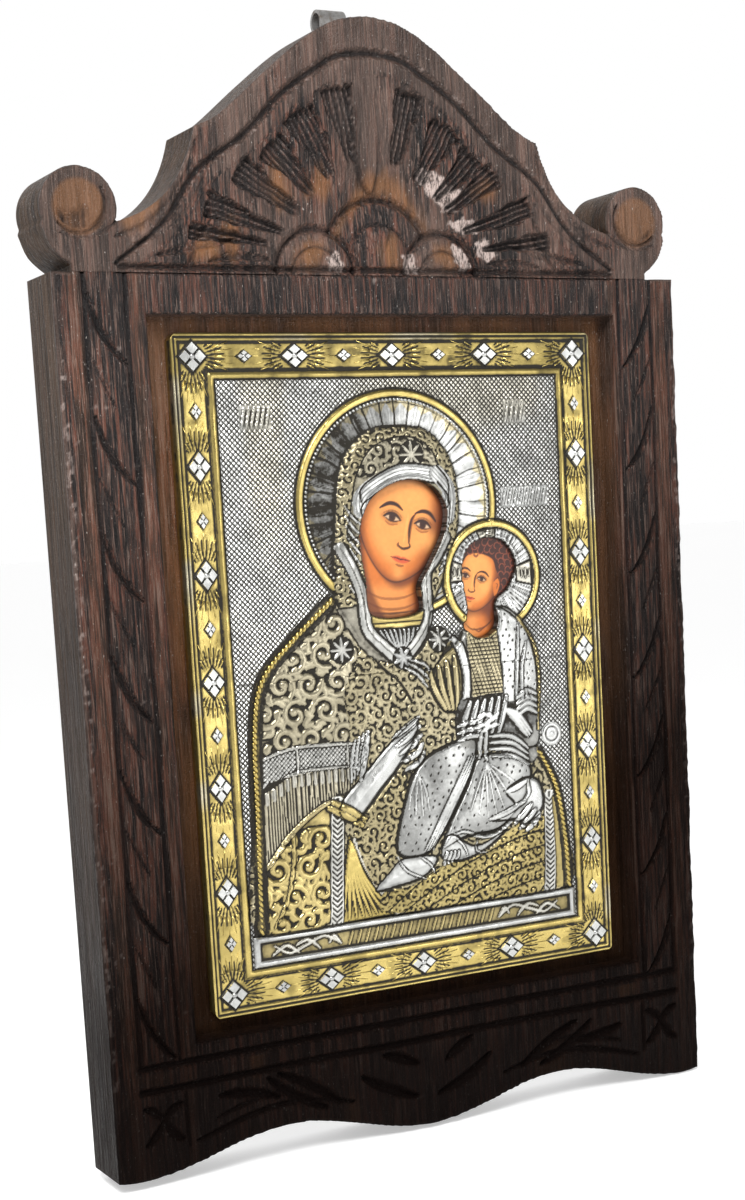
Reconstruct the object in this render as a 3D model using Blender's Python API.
"""Carved wooden icon panel: a crested board, a painted board and an embossed metal cover in its
pocket, and a strap hanger on its back.

Metres, +Z up, +X to the viewer's right, the front faces -Y. The origin is the middle of the hanger's eye.
"""
import math

import bmesh
import bpy
import numpy as np
from mathutils import Matrix, Vector
from mathutils.geometry import delaunay_2d_cdt

# Carved board
BOARD_WIDTH = 0.262
BOARD_HEIGHT = 0.3255
BOARD_THICKNESS = 0.026
BOARD_SHIFT = 0.00275
CREST_WIDTH = 0.261
CREST_HEIGHT = 0.0925
SCALLOP_DEPTH = 0.0054
SCALLOP_PITCH = 0.122
SCALLOP_SKEW = 0.012
CURVE_STEP = 0.0045

# Pocket and what lies in it
PLATE_WIDTH = 0.180
PLATE_HEIGHT = 0.2508
PLATE_SHIFT = 0.00225
PLATE_DROP = 0.1454
PLATE_CORNER = 0.004
PLATE_SUNK = 0.004
POCKET_DEPTH = 0.009
POCKET_SIDE_GAP = 0.0096
POCKET_END_GAP = 0.0059
FIT_GAP = 0.0003
PICTURE_THICKNESS = 0.0028
SKIRT_WALL = 0.0012
SHEET = 0.0008

# V cuts of the board
FRAME_INNER = 0.1044
FRAME_OUTER = 0.1198
FRAME_LOW = 0.2828
FRAME_LOWEST = 0.2917
FRAME_CUT = 0.0016
SIDE_LEAF_PITCH = 0.0415
SIDE_LEAF_FIRST = 0.0075
SIDE_LEAF_DROP = 0.024
SIDE_LEAF_CUT = 0.0022
SIDE_VEIN_LAG = 0.0215
SIDE_VEIN_DROP = 0.0175
SIDE_VEIN_CUT = 0.0011
CORNER_SQUARE = 0.022
CORNER_CUT_REACH = 0.008
EDGE_LINE_RISE = 0.0085
RIM_CUT = 0.0018
FAN_INNER = 0.039
FAN_BAND = 0.0085
SCALE_CUT = 0.0017
SCALE_CUP = 0.58
FOOT_LINE_RISE = 0.002
FOOT_LINE_REACH = 0.104
CUT_SIDES_DEPTH = 0.75

# Embossing of the metal, as heights over the back of the cover
BORDER_WIDTH = 0.0170
RAIL_WIDTH = 0.0030
RAIL_RISE = 0.0008
LOZENGE_RISE = 0.0009
LOZENGES_ACROSS = 5
LOZENGES_UP = 7
LOZENGE_LONG_HALF = 5.8
LOZENGE_SHORT_HALF = 4.6
SMALL_LOZENGE_LONG_HALF = 3.0
SMALL_LOZENGE_SHORT_HALF = 2.2
LOZENGE_FLAT = 0.38
FIELD_HEIGHT_GRID = 218.0
FIELD_WIDTH_GRID = 146.0
RELIEF_STEP = 0.0052
EDGE_RUN = 0.0012

# Hanger
EYE_BORE = 0.0064
STRAP_THICKNESS = 0.0012
STRAP_WIDTH = 0.011
STRAP_LEG = 0.034
EYE_OVER_CREST = 0.0049
EYE_SEGMENTS = 20
NAIL_HOLE = 0.0026
NAIL_SPACING = 0.014
NAIL_FIRST = 0.013

# Places that follow from the sizes above
EYE_OUTER = EYE_BORE / 2 + STRAP_THICKNESS
BACK_Y = -EYE_OUTER - FIT_GAP
FRONT_Y = BACK_Y - BOARD_THICKNESS
FLOOR_Y = FRONT_Y + POCKET_DEPTH
CREST_TOP_Z = -EYE_OVER_CREST
PANEL_TOP_Z = CREST_TOP_Z - CREST_HEIGHT
PLATE_X = BOARD_SHIFT + PLATE_SHIFT
PLATE_Z = PANEL_TOP_Z - PLATE_DROP
COVER_BACK_Y = FLOOR_Y - FIT_GAP
RAIL_TOP = COVER_BACK_Y - FRONT_Y - PLATE_SUNK
BORDER_LEVEL = RAIL_TOP - RAIL_RISE
FIELD_LEVEL = PICTURE_THICKNESS + FIT_GAP + SHEET
FIELD_WIDTH = PLATE_WIDTH - 2 * BORDER_WIDTH
FIELD_HEIGHT = PLATE_HEIGHT - 2 * BORDER_WIDTH
UNIT_X = FIELD_WIDTH / FIELD_WIDTH_GRID
UNIT_Z = FIELD_HEIGHT / FIELD_HEIGHT_GRID
UNIT = (UNIT_X + UNIT_Z) / 2


# Blender helpers

def clear_scene():
    for thing in list(bpy.data.objects):
        bpy.data.objects.remove(thing, do_unlink=True)


def new_collection(name):
    collection = bpy.data.collections.new(name)
    bpy.context.scene.collection.children.link(collection)
    return collection


def finish(name, colour, roughness, metallic):
    material = bpy.data.materials.new(name)
    material.use_nodes = True
    shader = material.node_tree.nodes["Principled BSDF"]
    shader.inputs["Base Color"].default_value = (*colour, 1.0)
    shader.inputs["Roughness"].default_value = roughness
    shader.inputs["Metallic"].default_value = metallic
    return material


def place_mesh(name, mesh, collection):
    thing = bpy.data.objects.new(name, mesh)
    collection.objects.link(thing)
    return thing


def curve_to_mesh(curve_object):
    """Turn a curve object into a welded mesh in world places, and remove the curve."""
    graph = bpy.context.evaluated_depsgraph_get()
    mesh = bpy.data.meshes.new_from_object(curve_object.evaluated_get(graph))
    mesh.transform(curve_object.matrix_world)
    bpy.data.objects.remove(curve_object, do_unlink=True)
    shape = bmesh.new()
    shape.from_mesh(mesh)
    bmesh.ops.remove_doubles(shape, verts=shape.verts, dist=1e-6)
    bmesh.ops.recalc_face_normals(shape, faces=shape.faces)
    shape.to_mesh(mesh)
    shape.free()
    return mesh


def outline_mesh(points, y_front, y_back):
    """Extrude a closed outline, given as (x, z), from the front plane to the back plane."""
    curve = bpy.data.curves.new("outline", "CURVE")
    curve.dimensions = "2D"
    curve.fill_mode = "BOTH"
    curve.extrude = (y_back - y_front) / 2
    spline = curve.splines.new("POLY")
    spline.points.add(len(points) - 1)
    for knot, (x, z) in zip(spline.points, points):
        knot.co = (x, z, 0.0, 1.0)
    spline.use_cyclic_u = True
    thing = bpy.data.objects.new("outline", curve)
    bpy.context.scene.collection.objects.link(thing)
    thing.rotation_euler = (math.pi / 2, 0.0, 0.0)
    thing.location = (0.0, (y_front + y_back) / 2, 0.0)
    bpy.context.view_layer.update()
    return curve_to_mesh(thing)


def hide_cutter(thing):
    thing.display_type = "WIRE"
    thing.hide_render = True


def v_cut(name, points, half_widths, cutters):
    """A V-tool cut in the board's front along (x, z) points, with its half width at each point."""
    curve = bpy.data.curves.new(name, "CURVE")
    curve.dimensions = "3D"
    curve.twist_mode = "Z_UP"
    curve.bevel_depth = 1.0
    curve.bevel_resolution = 0
    curve.use_fill_caps = True
    spline = curve.splines.new("POLY")
    spline.points.add(len(points) - 1)
    for knot, (x, z), half in zip(spline.points, points, half_widths):
        knot.co = (x, z, 0.0, 1.0)
        knot.radius = half
    thing = bpy.data.objects.new(name, curve)
    bpy.context.scene.collection.objects.link(thing)
    thing.rotation_euler = (math.pi / 2, 0.0, 0.0)
    thing.scale = (1.0, 1.0, CUT_SIDES_DEPTH)
    thing.location = (0.0, FRONT_Y, 0.0)
    bpy.context.view_layer.update()
    hide_cutter(place_mesh(name, curve_to_mesh(thing), cutters))


def box(name, low, high, collection):
    mesh = bpy.data.meshes.new(name)
    shape = bmesh.new()
    size = Vector(high) - Vector(low)
    middle = (Vector(high) + Vector(low)) / 2
    bmesh.ops.create_cube(shape, size=1.0, matrix=Matrix.LocRotScale(middle, None, size))
    shape.to_mesh(mesh)
    shape.free()
    return place_mesh(name, mesh, collection)


def cut(thing, operand):
    """Take an object, or every object of a collection, away from a piece."""
    boolean = thing.modifiers.new("cut", "BOOLEAN")
    boolean.operation = "DIFFERENCE"
    boolean.solver = "EXACT"
    if isinstance(operand, bpy.types.Collection):
        boolean.operand_type = "COLLECTION"
        boolean.collection = operand
    else:
        boolean.object = operand


# Curves in the plane of the front

def smooth(points, steps, closed=False):
    """A Catmull-Rom curve through a few points."""
    knots = [np.array(p, float) for p in points]
    count = len(knots)
    line = []
    for i in range(count if closed else count - 1):
        a = knots[(i - 1) % count] if closed or i else knots[0]
        b = knots[i]
        c = knots[(i + 1) % count]
        d = knots[(i + 2) % count] if closed or i + 2 < count else knots[-1]
        for k in range(steps):
            t = k / steps
            line.append(0.5 * (2 * b + (c - a) * t + (2 * a - 5 * b + 4 * c - d) * t ** 2
                               + (3 * b - a - 3 * c + d) * t ** 3))
    if not closed:
        line.append(knots[-1])
    return [tuple(p) for p in line]


def arc(centre, radius, start_deg, end_deg, segments):
    return [(centre[0] + radius * math.cos(math.radians(start_deg + (end_deg - start_deg) * k / segments)),
             centre[1] + radius * math.sin(math.radians(start_deg + (end_deg - start_deg) * k / segments)))
            for k in range(segments + 1)]


def bend(start, pull, end, segments):
    """A quadratic curve from start to end, drawn towards the pull point."""
    return [tuple((1 - t) ** 2 * np.array(start) + 2 * t * (1 - t) * np.array(pull) + t * t * np.array(end))
            for t in (k / segments for k in range(segments + 1))]


# Carved board

# The crest is drawn in shares of its half width and its height, from the middle of its foot.
CREST_BACK = [(0.0, 1.0), (0.100, 0.976), (0.205, 0.897), (0.330, 0.762), (0.470, 0.600), (0.548, 0.546)]
CREST_NECK = [(0.548, 0.546), (0.600, 0.253), (0.795, 0.184)]
RIM_LINE = [(0.0, 0.860), (0.097, 0.843), (0.174, 0.785), (0.283, 0.681), (0.402, 0.524), (0.543, 0.389),
            (0.635, 0.216), (0.704, 0.130), (0.800, 0.035)]
VOLUTE_CENTRE = (0.894, 0.235)
VOLUTE_RADIUS = 0.0138
VOLUTE_EYE = 0.0085
VOLUTE_FOOT = [(0.9995, 0.170), (0.975, 0.085), (0.925, 0.022)]
VOLUTE_TURN_END = -18
FAN_CENTRE = (0.0, 0.043)
# Angle from level and half width of each fan cut, the same on both sides
FAN = ((77, 0.0034), (60, 0.0044), (46, 0.0036), (31, 0.0029), (14, 0.0019))
SCALES = ((-0.195, 0.0, 0.0165), (0.006, 0.065, 0.0220), (0.211, 0.0, 0.0165))


def crest(share, side=1):
    return (side * share[0] * CREST_WIDTH / 2, PANEL_TOP_Z + share[1] * CREST_HEIGHT)


def board_x(x):
    return BOARD_SHIFT + x


def scallop(x):
    """Height of the bottom edge at x from the board's middle."""
    wave = SCALLOP_DEPTH * math.cos(2 * math.pi * x / SCALLOP_PITCH)
    corner = SCALLOP_DEPTH * math.cos(math.pi * BOARD_WIDTH / SCALLOP_PITCH)
    return PANEL_TOP_Z - BOARD_HEIGHT - wave + corner - SCALLOP_SKEW * x


def half_crest(side):
    """The crest's outline from its top down to the panel, on one side."""
    middle = crest(VOLUTE_CENTRE)
    throat = crest(CREST_NECK[-1])
    throat_angle = math.degrees(math.atan2(throat[1] - middle[1], throat[0] - middle[0]))
    back = [crest(p, side) for p in smooth(CREST_BACK, 3)]
    neck = bend(*[crest(p, side) for p in CREST_NECK], 6)[1:-1]
    turn = [(side * x, z) for x, z in arc(middle, VOLUTE_RADIUS, throat_angle, VOLUTE_TURN_END - 360, 14)]
    foot = [crest(p, side) for p in smooth(VOLUTE_FOOT, 2)]
    return back + neck + turn + foot + [(foot[-1][0], PANEL_TOP_Z)]


def board_outline():
    half = BOARD_WIDTH / 2
    count = round(BOARD_WIDTH / CURVE_STEP)
    xs = [half - BOARD_WIDTH * k / count for k in range(count + 1)]
    bottom = [(board_x(x), scallop(x)) for x in xs]
    right = half_crest(1)
    left = half_crest(-1)
    return (right + [(board_x(half), PANEL_TOP_Z)] + bottom + [(board_x(-half), PANEL_TOP_Z)]
            + left[:0:-1])


def taper(count, full, start, end):
    """Half widths along a cut: a share of the full width at each end, the full width between them."""
    widths = [full] * count
    widths[0] *= start
    widths[-1] *= end
    return widths


def straight_cuts(cutters):
    top = PANEL_TOP_Z + FRAME_CUT * 2
    for side in (-1, 1):
        for name, x in (("inner", FRAME_INNER), ("outer", FRAME_OUTER)):
            line = [(board_x(side * x), top), (board_x(side * x), PANEL_TOP_Z - FRAME_LOW)]
            v_cut(f"frame_{name}_{side}", line, [FRAME_CUT] * 2, cutters)
    for name, drop in (("low", FRAME_LOW), ("lowest", FRAME_LOWEST)):
        line = [(board_x(-FRAME_OUTER), PANEL_TOP_Z - drop), (board_x(FRAME_OUTER), PANEL_TOP_Z - drop)]
        v_cut(f"frame_{name}", line, [FRAME_CUT] * 2, cutters)
    foot = [(-FOOT_LINE_REACH, PANEL_TOP_Z + FOOT_LINE_RISE), (FOOT_LINE_REACH, PANEL_TOP_Z + FOOT_LINE_RISE)]
    v_cut("crest_foot", foot, [FRAME_CUT] * 2, cutters)


def side_leaves(cutters):
    """Slanting leaf cuts down both side bands, each with a thinner vein cut after it."""
    count = int((FRAME_LOW - SIDE_LEAF_FIRST - SIDE_LEAF_DROP) / SIDE_LEAF_PITCH) + 1
    inner = FRAME_INNER + FRAME_CUT
    outer = FRAME_OUTER - FRAME_CUT
    for side in (-1, 1):
        for k in range(count):
            z = PANEL_TOP_Z - SIDE_LEAF_FIRST - k * SIDE_LEAF_PITCH
            leaf = bend((board_x(side * outer), z),
                        (board_x(side * (outer - 0.005)), z - SIDE_LEAF_DROP * 0.6),
                        (board_x(side * inner), z - SIDE_LEAF_DROP), 3)
            v_cut(f"leaf_{side}_{k}", leaf, taper(4, SIDE_LEAF_CUT, 0.3, 0.6), cutters)
            z -= SIDE_VEIN_LAG
            if k < count - 1:
                vein = [(board_x(side * outer), z),
                        (board_x(side * (outer * 0.4 + inner * 0.6)), z - SIDE_VEIN_DROP)]
                v_cut(f"vein_{side}_{k}", vein, [SIDE_VEIN_CUT, SIDE_VEIN_CUT * 0.4], cutters)


def bottom_cuts(cutters):
    """Crossed cuts in the corner squares, and leaf cuts that follow the scalloped edge."""
    middle_z = PANEL_TOP_Z - FRAME_LOWEST - CORNER_SQUARE * 0.55
    for side in (-1, 1):
        middle = side * (FRAME_OUTER + FRAME_INNER) / 2
        for name, lean in (("rising", 1), ("falling", -1)):
            reach = CORNER_CUT_REACH
            line = [(board_x(middle - reach), middle_z - lean * reach), (board_x(middle), middle_z),
                    (board_x(middle + reach), middle_z + lean * reach)]
            v_cut(f"corner_{name}_{side}", line, taper(3, SIDE_LEAF_CUT, 0.3, 0.3), cutters)
        start = side * FRAME_INNER * 0.93
        edge = [start * (1 - k / 7) + side * 0.032 * k / 7 for k in range(8)]
        follow = [(board_x(x), scallop(x) + EDGE_LINE_RISE) for x in edge]
        v_cut(f"edge_line_{side}", follow, taper(8, FRAME_CUT, 0.4, 0.4), cutters)
        top = PANEL_TOP_Z - FRAME_LOWEST - 0.004
        for name, x, length in (("outer", 0.074, 0.024), ("middle", 0.064, 0.026), ("inner", 0.021, 0.019)):
            arch = bend((board_x(side * x), top), (board_x(side * (x - length * 0.45)), top - 0.005),
                        (board_x(side * (x - length)), top - 0.013 * length / 0.024), 4)
            v_cut(f"arch_{name}_{side}", arch, taper(5, SIDE_LEAF_CUT, 0.4, 0.4), cutters)


def rim_reach(middle, lean):
    """Distance from a point under the rim line to the line itself, along a ray to the right."""
    ray = (math.cos(lean), math.sin(lean))
    rim = [crest(p) for p in smooth(RIM_LINE, 2)]
    for a, b in zip(rim[:-1], rim[1:]):
        start, run = np.subtract(a, middle), np.subtract(b, a)
        turn = ray[0] * run[1] - ray[1] * run[0]
        share = (start[0] * ray[1] - start[1] * ray[0]) / turn
        if 0.0 <= share <= 1.0:
            return (start[0] * run[1] - start[1] * run[0]) / turn
    raise ValueError("the ray misses the rim line")


def crest_cuts(cutters):
    rim = [crest(p, -1) for p in smooth(RIM_LINE, 2)[:0:-1]] + [crest(p) for p in smooth(RIM_LINE, 2)]
    v_cut("rim_line", rim, taper(len(rim), RIM_CUT, 0.4, 0.4), cutters)
    middle = crest(FAN_CENTRE)
    for angle, half in FAN:
        lean = math.radians(angle)
        start, end = FAN_INNER, rim_reach(middle, lean) - FAN_BAND
        for side in (-1, 1):
            line = [(middle[0] + side * r * math.cos(lean), middle[1] + r * math.sin(lean))
                    for r in (start, start * 0.6 + end * 0.4, start * 0.2 + end * 0.8, end)]
            v_cut(f"fan_{side * angle}", line, [half * 0.3, half * 0.85, half, half * 0.4], cutters)
    for k, (share_x, share_z, radius) in enumerate(SCALES):
        centre = crest((share_x, share_z))
        spread = 0 if share_z else 4
        clip = 38 if share_z else spread
        for name, r in (("edge", radius), ("cup", radius * SCALE_CUP)):
            line = arc(centre, r, clip, 180 - clip, 8 if name == "edge" else 6)
            v_cut(f"scale_{k}_{name}", line, taper(len(line), SCALE_CUT, 0.6, 0.6), cutters)
    for side in (-1, 1):
        eye = arc(crest(VOLUTE_CENTRE), VOLUTE_EYE, 175, 385, 9)
        eye = [(side * x, z) for x, z in eye]
        v_cut(f"volute_eye_{side}", eye, taper(len(eye), RIM_CUT, 0.3, 0.3), cutters)
        neck = bend(*[crest(p, side) for p in CREST_NECK], 5)
        v_cut(f"neck_bevel_{side}", neck, taper(len(neck), RIM_CUT * 1.4, 0.3, 0.3), cutters)


def carved_board(collection, cutters, material):
    mesh = outline_mesh(board_outline(), FRONT_Y, BACK_Y)
    board = place_mesh("carved_board", mesh, collection)
    wide = PLATE_WIDTH / 2 + POCKET_SIDE_GAP
    high = PLATE_HEIGHT / 2 + POCKET_END_GAP
    hide_cutter(box("pocket", (PLATE_X - wide, FRONT_Y - POCKET_DEPTH, PLATE_Z - high),
                    (PLATE_X + wide, FLOOR_Y, PLATE_Z + high), cutters))
    straight_cuts(cutters)
    side_leaves(cutters)
    bottom_cuts(cutters)
    crest_cuts(cutters)
    cut(board, cutters)
    board.data.materials.append(material)
    return board


# Embossed metal cover

# Outlines of the figures on the drawing grid of the field: its width is 146 squares, its height 218,
# counted from its middle. The openings are plain ovals with a neck.
MOTHER_HALO = (-0.5, 61.5, 43.4)
CHILD_HALO = (39.8, 31.7, 22.2)
MOTHER_FACE = [(-15, 20), (-17.5, 34), (-19, 50), (-14, 63), (-2, 70), (11, 69.5), (19, 61), (18, 50),
               (11, 38), (6, 30), (5.5, 20)]
CHILD_FACE = [(26, 12), (28, 20), (26, 33), (29, 43), (37, 47), (46, 45), (51, 36), (47, 27), (41, 22), (40, 12),
              (32.5, 8)]
VEIL = [(-30, 28), (-28, 55), (-24, 78), (-12, 89.5), (1, 91.5), (14, 88.5), (23, 78), (26, 60), (22, 42),
        (12, 22), (8, 8), (-2, 1), (-16, 4), (-25, 14)]
ROBE = [(-30, 28), (-47, 15), (-62, 0), (-67, -20), (-68, -50), (-70, -96), (-20, -97), (30, -97), (70, -96),
        (68, -68), (61, -44), (50, -30), (20, -10), (14, 12), (-5, 12)]
SLEEVE = [(-31, -48), (-46, -54), (-62, -67), (-68, -80), (-70, -96), (-41, -96), (-38, -72)]
FOREARM = [(-29, -48), (-20, -38), (-10, -29), (2, -20.5), (1, -28), (-6, -38), (-14, -46), (-22, -53)]
CHILD_BODY = [(26, 12), (22, 7), (12, 0), (9, -10), (14, -19), (22, -22), (24, -34), (40, -36), (57, -37),
              (58, -20), (58, -2), (52, 14), (42, 20), (33, 9)]
KNEE_LEFT = [(28, -31), (10, -34), (0, -41), (-6, -54), (-10, -72), (2, -75), (12, -66), (24, -48)]
KNEE_RIGHT = [(30, -38), (50, -42), (53, -50), (46, -62), (36, -69), (22, -70), (10, -74), (14, -64), (22, -50)]
FOOT_LEFT = [(-20, -86), (-13, -79), (-7, -75), (8, -76), (2, -83), (-10, -85.5)]
FOOT_RIGHT = [(10, -77), (14, -68), (26, -74), (40, -69), (32, -75), (20, -79)]
HAND = [(40, -53.5), (50, -49), (57, -52), (58, -62), (50, -68), (44, -66), (32, -64), (44, -60)]

# Name, outline, rise of its edge and rise of its crown over the field, in squares
FORMS = (("veil", VEIL, 0.9, 1.3), ("robe", ROBE, 0.7, 0.8), ("sleeve", SLEEVE, 1.1, 0.8),
         ("forearm", FOREARM, 1.5, 1.2), ("child_body", CHILD_BODY, 1.5, 0.9),
         ("knee_left", KNEE_LEFT, 1.9, 1.2), ("knee_right", KNEE_RIGHT, 1.9, 1.3),
         ("foot_left", FOOT_LEFT, 1.4, 0.7), ("foot_right", FOOT_RIGHT, 1.4, 0.6), ("hand", HAND, 1.7, 0.6))
CROWN_RUN = 9.0

# Name, line, half width and rise of each band, hem, fold and rope over what it lies on, in squares
RIBS = (("hem_left", [(-26, 46), (-20, 32), (-17.5, 14), (-3, 1)], 2.0, 0.6),
        ("hem_right", [(20, 47), (8.5, 34), (9, 18), (-3, 3)], 2.0, 0.6),
        ("collar", [(-16, 17.5), (7, 17)], 1.8, 0.5),
        ("brow_band", [(-17, 66), (0, 73), (17, 71), (23, 63)], 2.4, 0.5),
        ("shoulder_band", [(-65, -36), (-50, -32), (-25, -32)], 4.6, 0.35),
        ("braid_left", [(-33.5, -50), (-38, -96)], 2.4, 0.5),
        ("braid_right", [(61, -58), (60, -96)], 2.2, 0.5),
        ("rope_left", [(-32, 26.5), (-48, 13.5), (-62, -1), (-66.5, -20), (-67.5, -50), (-69, -95)], 1.3, 0.5),
        ("rope_right", [(58, -40), (65, -54), (68, -72), (69, -95)], 1.2, 0.5),
        ("fold_drape", [(-29, -62), (-22, -80), (-11, -95)], 1.5, 0.6),
        ("sash", [(21, -24), (38, -20), (56, -14)], 3.0, 0.6),
        ("fold_lap", [(33, -30), (24, -48), (4, -72)], 1.4, 0.5),
        ("fold_hem", [(14, -67), (28, -69), (42, -62)], 1.2, 0.4),
        ("stole", [(25, 5), (26, -8), (24, -18)], 2.2, 0.5),
        ("fold_arm", [(50, 12), (50, -6), (54, -16)], 1.3, 0.5))
TITLE_FRAME = (-72.0, -109.0, 72.0, -97.0)
TITLE_RAIL = 1.4
TITLE_RISE = 0.9
BOSS = (65.0, -33.0, 4.0)


def segment_distance(points, line):
    """Distance of each point from a line of points."""
    best = np.full(len(points), 1e9)
    for a, b in zip(line[:-1], line[1:]):
        a, b = np.array(a, float), np.array(b, float)
        run = b - a
        along = np.clip(((points - a) @ run) / max(run @ run, 1e-12), 0.0, 1.0)
        best = np.minimum(best, np.linalg.norm(points - a - along[:, None] * run, axis=1))
    return best


def inside(points, ring):
    """Whether each point lies in a closed outline."""
    hit = np.zeros(len(points), bool)
    for (x0, z0), (x1, z1) in zip(ring, ring[1:] + ring[:1]):
        crosses = (z0 > points[:, 1]) != (z1 > points[:, 1])
        rise = z1 - z0 if z1 != z0 else 1e-12
        hit ^= crosses & (points[:, 0] < x0 + (points[:, 1] - z0) * (x1 - x0) / rise)
    return hit


def inset(ring, distance):
    """The outline moved inwards, point by point."""
    moved = []
    area = sum(x0 * z1 - x1 * z0 for (x0, z0), (x1, z1) in zip(ring, ring[1:] + ring[:1]))
    turn = math.copysign(1.0, area)
    for before, here, after in zip(ring[-1:] + ring[:-1], ring, ring[1:] + ring[:1]):
        run = np.array(after) - np.array(before)
        run = run / max(np.linalg.norm(run), 1e-9)
        moved.append((here[0] - turn * run[1] * distance, here[1] + turn * run[0] * distance))
    return moved


def rectangle(low_x, low_z, high_x, high_z):
    return [(low_x, low_z), (high_x, low_z), (high_x, high_z), (low_x, high_z)]


def plate_ring(margin, corner=0.0, segments=3):
    """The plate's outline, moved in by a margin, on the drawing grid."""
    half_x = (PLATE_WIDTH / 2 - margin) / UNIT_X
    half_z = (PLATE_HEIGHT / 2 - margin) / UNIT_Z
    if not corner:
        return rectangle(-half_x, -half_z, half_x, half_z)
    reach = corner / UNIT
    ring = []
    for sx, sz, start in ((1, 1, 0), (-1, 1, 90), (-1, -1, 180), (1, -1, 270)):
        ring += arc((sx * (half_x - reach), sz * (half_z - reach)), reach, start, start + 90, segments)
    return ring


def lozenges():
    """Places and half sizes of the large and small lozenges of the border, on the drawing grid."""
    mid_x = (PLATE_WIDTH - BORDER_WIDTH) / 2 / UNIT_X
    mid_z = (PLATE_HEIGHT - BORDER_WIDTH) / 2 / UNIT_Z
    large, small = [], []
    for k in range(2 * LOZENGES_ACROSS - 1):
        x = -mid_x + mid_x * k / (LOZENGES_ACROSS - 1)
        corner = k in (0, 2 * LOZENGES_ACROSS - 2)
        for z in (-mid_z, mid_z):
            if k % 2:
                small.append((x, z, SMALL_LOZENGE_LONG_HALF, SMALL_LOZENGE_SHORT_HALF))
            else:
                large.append((x, z, LOZENGE_LONG_HALF, LOZENGE_LONG_HALF if corner else LOZENGE_SHORT_HALF))
    for k in range(1, 2 * LOZENGES_UP - 2):
        z = -mid_z + mid_z * k / (LOZENGES_UP - 1)
        for x in (-mid_x, mid_x):
            if k % 2:
                small.append((x, z, SMALL_LOZENGE_SHORT_HALF, SMALL_LOZENGE_LONG_HALF))
            else:
                large.append((x, z, LOZENGE_SHORT_HALF, LOZENGE_LONG_HALF))
    return large, small


def form_rings():
    return [(name, smooth(points, 3, closed=True), edge, crown) for name, points, edge, crown in FORMS]


def relief_height(points):
    """Height of the embossing over the cover's back, in metres, at points of the drawing grid."""
    half = np.array([PLATE_WIDTH / 2 / UNIT_X, PLATE_HEIGHT / 2 / UNIT_Z])
    rim = np.min(half - np.abs(points), axis=1)
    rail, border = RAIL_WIDTH / UNIT, BORDER_WIDTH / UNIT
    height = np.where(rim < border, BORDER_LEVEL, FIELD_LEVEL)
    for middle in (rail / 2, border - rail / 2):
        rise = np.clip(1 - np.abs(rim - middle) / (rail / 2), 0.0, 1.0)
        height = np.maximum(height, BORDER_LEVEL + RAIL_RISE * np.sqrt(rise) * (rise > 0))
    large, small = lozenges()
    for x, z, half_x, half_z in large + small:
        reach = 1 - np.abs(points[:, 0] - x) / half_x - np.abs(points[:, 1] - z) / half_z
        height = np.maximum(height, BORDER_LEVEL + LOZENGE_RISE * np.clip(reach / (1 - LOZENGE_FLAT), 0.0, 1.0))
    body = np.zeros(len(points))
    for x, z, radius in (MOTHER_HALO, CHILD_HALO):
        reach = radius - np.hypot(points[:, 0] - x, points[:, 1] - z)
        ring = 1.0 * np.clip(reach / 0.8, 0.0, 1.0) - 0.6 * np.clip((reach - 2.4) / 0.8, 0.0, 1.0)
        body = np.maximum(body, ring)
    for _, ring, edge, crown in form_rings():
        depth = segment_distance(points, ring + ring[:1]) * np.where(inside(points, ring), 1.0, 0.0)
        swell = 1 - (1 - np.clip(depth / CROWN_RUN, 0.0, 1.0)) ** 2
        run = EDGE_RUN / UNIT
        body = np.maximum(body, edge * np.clip(depth / run, 0.0, 1.0) + crown * swell)
    for _, line, width, rise in RIBS:
        near = 1 - segment_distance(points, smooth(line, 3)) / width
        body = body + rise * np.sqrt(np.clip(near, 0.0, 1.0))
    low_x, low_z, high_x, high_z = TITLE_FRAME
    depth = np.minimum(np.minimum(points[:, 0] - low_x, high_x - points[:, 0]),
                       np.minimum(points[:, 1] - low_z, high_z - points[:, 1]))
    frame = TITLE_RISE * np.clip(1 - np.abs(depth - TITLE_RAIL) / TITLE_RAIL, 0.0, 1.0)
    body = np.where(depth > 0, frame, body)
    boss = BOSS[2] - np.hypot(points[:, 0] - BOSS[0], points[:, 1] - BOSS[1])
    body = np.maximum(body, 0.25 * np.clip(boss, 0.0, 3.0))
    field = rim >= border
    return np.where(field, np.maximum(height, FIELD_LEVEL + body * UNIT), height)


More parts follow.
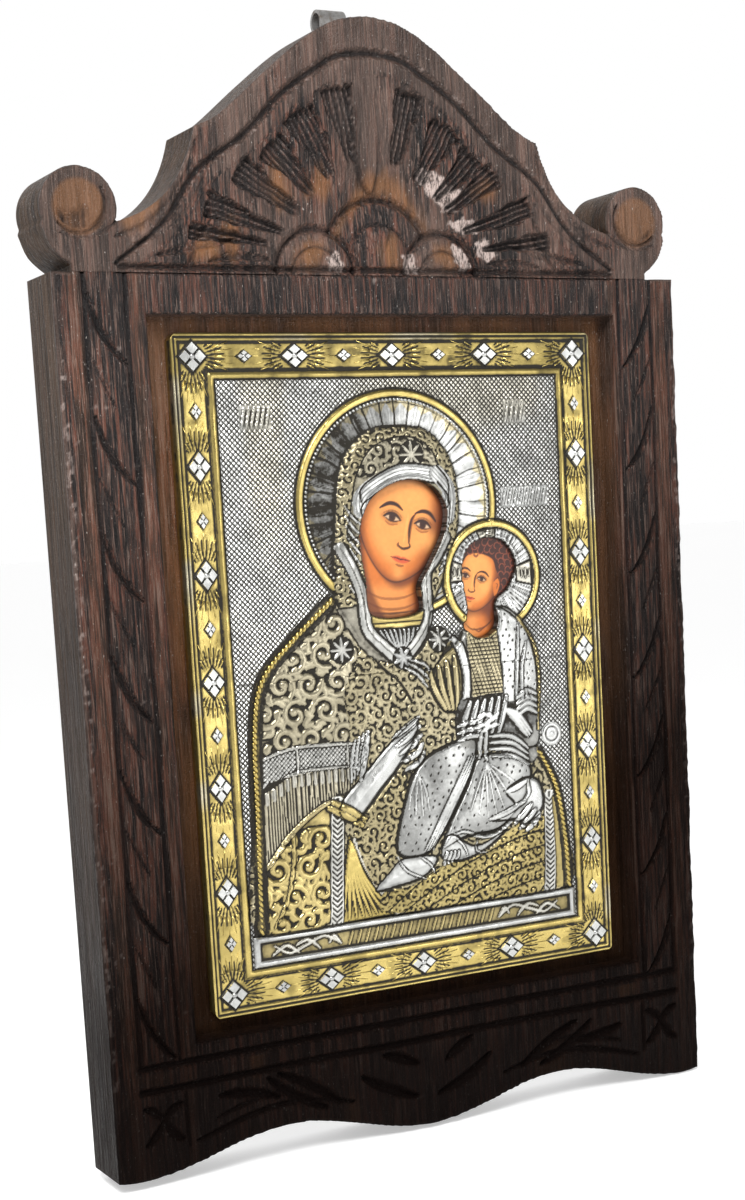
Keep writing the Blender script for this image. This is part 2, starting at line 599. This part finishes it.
def guide_lines():
    """Closed rings and open lines that the relief's mesh has to follow, on the drawing grid."""
    rail, border = RAIL_WIDTH, BORDER_WIDTH
    closed = [plate_ring(m) for m in (rail / 2, rail, border - rail, border - rail / 2, border - 1e-5)]
    large, small = lozenges()
    for x, z, half_x, half_z in large + small:
        closed.append([(x + half_x, z), (x, z + half_z), (x - half_x, z), (x, z - half_z)])
    for x, z, half_x, half_z in large:
        flat_x, flat_z = half_x * LOZENGE_FLAT, half_z * LOZENGE_FLAT
        closed.append([(x + flat_x, z), (x, z + flat_z), (x - flat_x, z), (x, z - flat_z)])
    for (x, z, radius), segments in ((MOTHER_HALO, 44), (CHILD_HALO, 30)):
        for r in (radius, radius - 0.8, radius - 2.4, radius - 3.2):
            closed.append(arc((x, z), r, 0, 360, segments)[:-1])
    for _, ring, _, _ in form_rings():
        closed.append(ring)
        closed.append(inset(ring, EDGE_RUN / UNIT))
    low_x, low_z, high_x, high_z = TITLE_FRAME
    for margin in (0.0, TITLE_RAIL, 2 * TITLE_RAIL):
        closed.append(rectangle(low_x + margin, low_z + margin, high_x - margin, high_z - margin))
    closed.append(arc(BOSS[:2], BOSS[2], 0, 360, 12)[:-1])
    closed.append(arc(BOSS[:2], BOSS[2] * 0.25, 0, 360, 6)[:-1])
    opened = []
    for _, line, width, _ in RIBS:
        middle = smooth(line, 3)
        opened.append(middle)
        for side in (-1, 1):
            opened.append(side_line(middle, side * width))
    return closed, opened


def side_line(line, offset):
    """A line beside another one, at a distance to its left."""
    moved = []
    for k, here in enumerate(line):
        run = np.array(line[min(k + 1, len(line) - 1)]) - np.array(line[max(k - 1, 0)])
        run = run / max(np.linalg.norm(run), 1e-9)
        moved.append((here[0] - run[1] * offset, here[1] + run[0] * offset))
    return moved


def relief_points():
    """Every point and edge of the relief's flat mesh: guide lines, openings and a loose fill."""
    outer = plate_ring(0.0, PLATE_CORNER)
    openings = [smooth(MOTHER_FACE, 3, closed=True), smooth(CHILD_FACE, 3, closed=True)]
    closed, opened = guide_lines()
    points, edges = [], []

    def add(line, is_closed):
        first = len(points)
        points.extend(line)
        edges.extend((first + k, first + k + 1) for k in range(len(line) - 1))
        if is_closed:
            edges.append((first + len(line) - 1, first))

    add(outer, True)
    for ring in openings:
        add(ring, True)
    for ring in closed:
        add(ring, True)
    for line in opened:
        add(line, False)
    rings = np.array([p for ring in openings + closed for p in ring] + [p for line in opened for p in line])
    step = RELIEF_STEP / UNIT
    half_x, half_z = FIELD_WIDTH_GRID / 2, FIELD_HEIGHT_GRID / 2
    for i in range(int(2 * half_x / step)):
        for j in range(int(2 * half_z / step)):
            spot = (-half_x + (i + 0.5) * step, -half_z + (j + 0.5 * (i % 2) + 0.5) * step)
            if np.min(np.hypot(rings[:, 0] - spot[0], rings[:, 1] - spot[1])) > step * 0.45:
                points.append(spot)
    return points, edges, outer, openings


def relief_mesh():
    """A closed slab with the embossing on its front and a flat back, in world places."""
    points, edges, outer, openings = relief_points()
    flat = delaunay_2d_cdt([Vector(p) for p in points], edges, [], 0, 0.02)
    spots = np.array([tuple(v) for v in flat[0]])
    middles = np.array([np.mean([spots[i] for i in face], axis=0) for face in flat[2]])
    keep = inside(middles, outer)
    for ring in openings:
        keep &= ~inside(middles, ring)
    heights = relief_height(spots)
    shape = bmesh.new()
    fronts = [shape.verts.new((PLATE_X + x * UNIT_X, COVER_BACK_Y - h, PLATE_Z + z * UNIT_Z))
              for (x, z), h in zip(spots, heights)]
    for face, kept in zip(flat[2], keep):
        if kept:
            shape.faces.new([fronts[i] for i in face])
    for vert in [v for v in shape.verts if not v.link_faces]:
        shape.verts.remove(vert)
    rim_edges = [e for e in shape.edges if len(e.link_faces) == 1]
    walls = bmesh.ops.extrude_edge_only(shape, edges=rim_edges)["geom"]
    for vert in [g for g in walls if isinstance(g, bmesh.types.BMVert)]:
        vert.co.y = COVER_BACK_Y
    open_edges = [e for e in shape.edges if len(e.link_faces) == 1]
    bmesh.ops.triangle_fill(shape, edges=open_edges, use_beauty=True)
    bmesh.ops.recalc_face_normals(shape, faces=shape.faces)
    mesh = bpy.data.meshes.new("metal_cover")
    shape.to_mesh(mesh)
    shape.free()
    return mesh


def metal_cover(collection, cutters, material):
    cover = place_mesh("metal_cover", relief_mesh(), collection)
    wide = PLATE_WIDTH / 2 - SKIRT_WALL
    high = PLATE_HEIGHT / 2 - SKIRT_WALL
    room = box("room_under_sheet", (PLATE_X - wide, COVER_BACK_Y - PICTURE_THICKNESS - FIT_GAP, PLATE_Z - high),
               (PLATE_X + wide, COVER_BACK_Y + POCKET_DEPTH, PLATE_Z + high), cutters)
    hide_cutter(room)
    cut(cover, room)
    cover.data.materials.append(material)
    return cover


def picture_board(collection, material):
    wide = PLATE_WIDTH / 2 - SKIRT_WALL - FIT_GAP
    high = PLATE_HEIGHT / 2 - SKIRT_WALL - FIT_GAP
    board = box("picture_board", (PLATE_X - wide, COVER_BACK_Y - PICTURE_THICKNESS, PLATE_Z - high),
                (PLATE_X + wide, COVER_BACK_Y, PLATE_Z + high), collection)
    board.data.materials.append(material)
    return board


# Hanger

def strap_outline():
    """The bent strap from its end, as (y, z): a leg down the board's back and a rolled eye over it."""
    inner_face = -EYE_OUTER
    outer_face = inner_face + STRAP_THICKNESS
    bore = EYE_BORE / 2
    roll = arc((0.0, 0.0), EYE_OUTER, 180, -120, EYE_SEGMENTS)
    back = arc((0.0, 0.0), bore, -120, 180, EYE_SEGMENTS)
    leg = [(outer_face, -STRAP_LEG), (inner_face, -STRAP_LEG)]
    return roll + back + leg


def hanger_strap(collection, cutters, material):
    outline = strap_outline()
    curve = bpy.data.curves.new("strap", "CURVE")
    curve.dimensions = "2D"
    curve.fill_mode = "BOTH"
    curve.extrude = STRAP_WIDTH / 2
    spline = curve.splines.new("POLY")
    spline.points.add(len(outline) - 1)
    for knot, (y, z) in zip(spline.points, outline):
        knot.co = (y, z, 0.0, 1.0)
    spline.use_cyclic_u = True
    thing = bpy.data.objects.new("strap", curve)
    bpy.context.scene.collection.objects.link(thing)
    thing.rotation_euler = (math.pi / 2, 0.0, math.pi / 2)
    bpy.context.view_layer.update()
    strap = place_mesh("hanger_strap", curve_to_mesh(thing), collection)
    for k in range(2):
        z = -NAIL_FIRST - k * NAIL_SPACING
        mesh = bpy.data.meshes.new(f"nail_hole_{k}")
        shape = bmesh.new()
        turn = Matrix.Rotation(math.pi / 2, 4, "X")
        bmesh.ops.create_cone(shape, cap_ends=True, segments=12, radius1=NAIL_HOLE / 2, radius2=NAIL_HOLE / 2,
                              depth=STRAP_THICKNESS * 4, matrix=Matrix.Translation((0.0, -EYE_OUTER, z)) @ turn)
        shape.to_mesh(mesh)
        shape.free()
        hole = place_mesh(f"nail_hole_{k}", mesh, cutters)
        hide_cutter(hole)
        cut(strap, hole)
    strap.data.materials.append(material)
    return strap


def main():
    clear_scene()
    panel = new_collection("icon_panel")
    board_cutters = new_collection("board_cutters")
    cover_cutters = new_collection("other_cutters")
    wood = finish("carved_softwood", (0.055, 0.026, 0.018), 0.42, 0.0)
    painted = finish("painted_board", (0.62, 0.27, 0.09), 0.5, 0.0)
    silver = finish("embossed_silver", (0.62, 0.60, 0.52), 0.3, 1.0)
    iron = finish("grey_strap_metal", (0.33, 0.31, 0.29), 0.5, 1.0)
    carved_board(panel, board_cutters, wood)
    picture_board(panel, painted)
    metal_cover(panel, cover_cutters, silver)
    hanger_strap(panel, cover_cutters, iron)


main()
